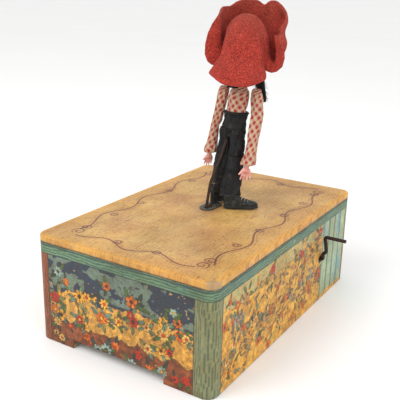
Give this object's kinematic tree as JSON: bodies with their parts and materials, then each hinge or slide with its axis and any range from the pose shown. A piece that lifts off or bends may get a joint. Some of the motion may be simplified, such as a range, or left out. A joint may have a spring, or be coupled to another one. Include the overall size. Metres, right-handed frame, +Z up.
{
  "type": "hand-cranked dancing figure toy",
  "caption": "Printed wooden box with a bent-wire crank that jogs a cloth-dressed, felt-hatted figure held over its top on a wire rod.",
  "frame": {"origin": "middle of the whole toy's outline seen from above, crank handle included, on the surface it stands on", "axes": "+Z up; +Y the way the figure faces, along the box's long sides; +X towards the crank"},
  "size_m": [0.1702, 0.23, 0.2384],
  "materials": {
    "printed_paper": "satin varnish, worn",
    "wood_board": "raw sawn",
    "wood_block": "raw",
    "rusty_wire": "rusted dark brown",
    "bright_steel": "plain",
    "slot_plate_metal": "dark, worn",
    "red_felt": "felt",
    "gingham_cotton": "checked cotton",
    "black_leathercloth": "coated cloth, soft sheen",
    "boot_rubber": "moulded, matt",
    "moulded_flesh": "moulded vinyl",
    "black_mohair": "hair"
  },
  "bodies": {
    "box": {"rear_panel": "wood_board", "front_panel": "wood_board", "left_panel": "wood_board", "right_panel": "wood_board", "wrap_print": "printed_paper", "top_board": "wood_board", "top_print": "printed_paper", "slot_plate": "slot_plate_metal", "bottom_board": "wood_board", "corner_block_1": "wood_block", "corner_block_2": "wood_block", "corner_block_3": "wood_block", "corner_block_4": "wood_block", "bottom_nail_1": "bright_steel", "bottom_nail_2": "bright_steel", "bottom_nail_3": "bright_steel", "bottom_nail_4": "bright_steel", "bearing_block_outer": "wood_block", "bearing_block_inner": "wood_block", "lever_post": "wood_block", "lever_bracket": "bright_steel", "lever_pin": "bright_steel", "lever_rest": "wood_block"},
    "crank": {"crank_wire": "rusty_wire", "cam": "wood_block", "shaft_collar_outer": "bright_steel", "shaft_collar_inner": "bright_steel"},
    "dancer": {"dance_lever": "wood_block", "rod_holder": "wood_block", "figure_rod": "rusty_wire", "shirt": "gingham_cotton", "trouser_seat": "black_leathercloth", "head": "moulded_flesh", "hair": "black_mohair", "beard": "black_mohair", "hat": "red_felt"},
    "arm_left": {"sleeve_left": "gingham_cotton", "hand_left": "moulded_flesh"},
    "arm_right": {"sleeve_right": "gingham_cotton", "hand_right": "moulded_flesh"},
    "thigh_left": {"thigh_left": "black_leathercloth"},
    "thigh_right": {"thigh_right": "black_leathercloth"},
    "foot_left": {"shin_left": "black_leathercloth", "boot_left": "boot_rubber"},
    "foot_right": {"shin_right": "black_leathercloth", "boot_right": "boot_rubber"}
  },
  "joints": [
    {"name": "crank_turn", "type": "hinge", "parent": "box", "child": "crank", "pos_m": [0.0629, 0.0545, 0.039], "axis": [1, 0, 0], "continuous": true},
    {"name": "lever_rock", "type": "hinge", "parent": "box", "child": "dancer", "pos_m": [-0.0151, 0.09, 0.0531], "axis": [-1, 0, 0], "range_deg": [0, 4.5]},
    {"name": "shoulder_left", "type": "hinge", "parent": "dancer", "child": "arm_left", "pos_m": [-0.0245, 0.0395, 0.17], "axis": [1, 0, 0], "range_deg": [-20, 60]},
    {"name": "shoulder_right", "type": "hinge", "parent": "dancer", "child": "arm_right", "pos_m": [0.0058, 0.0385, 0.1705], "axis": [1, 0, 0], "range_deg": [-20, 60]},
    {"name": "hip_left", "type": "hinge", "parent": "dancer", "child": "thigh_left", "pos_m": [-0.0167, 0.0304, 0.135], "axis": [1, 0, 0], "range_deg": [-3, 0]},
    {"name": "hip_right", "type": "hinge", "parent": "dancer", "child": "thigh_right", "pos_m": [-0.0025, 0.0278, 0.135], "axis": [1, 0, 0], "range_deg": [-20, 0]},
    {"name": "knee_left", "type": "hinge", "parent": "thigh_left", "child": "foot_left", "pos_m": [-0.0167, 0.0155, 0.1138], "axis": [1, 0, 0], "range_deg": [0, 28]},
    {"name": "knee_right", "type": "hinge", "parent": "thigh_right", "child": "foot_right", "pos_m": [-0.0009, 0.0198, 0.1138], "axis": [1, 0, 0], "range_deg": [-28, 0]}
  ]
}
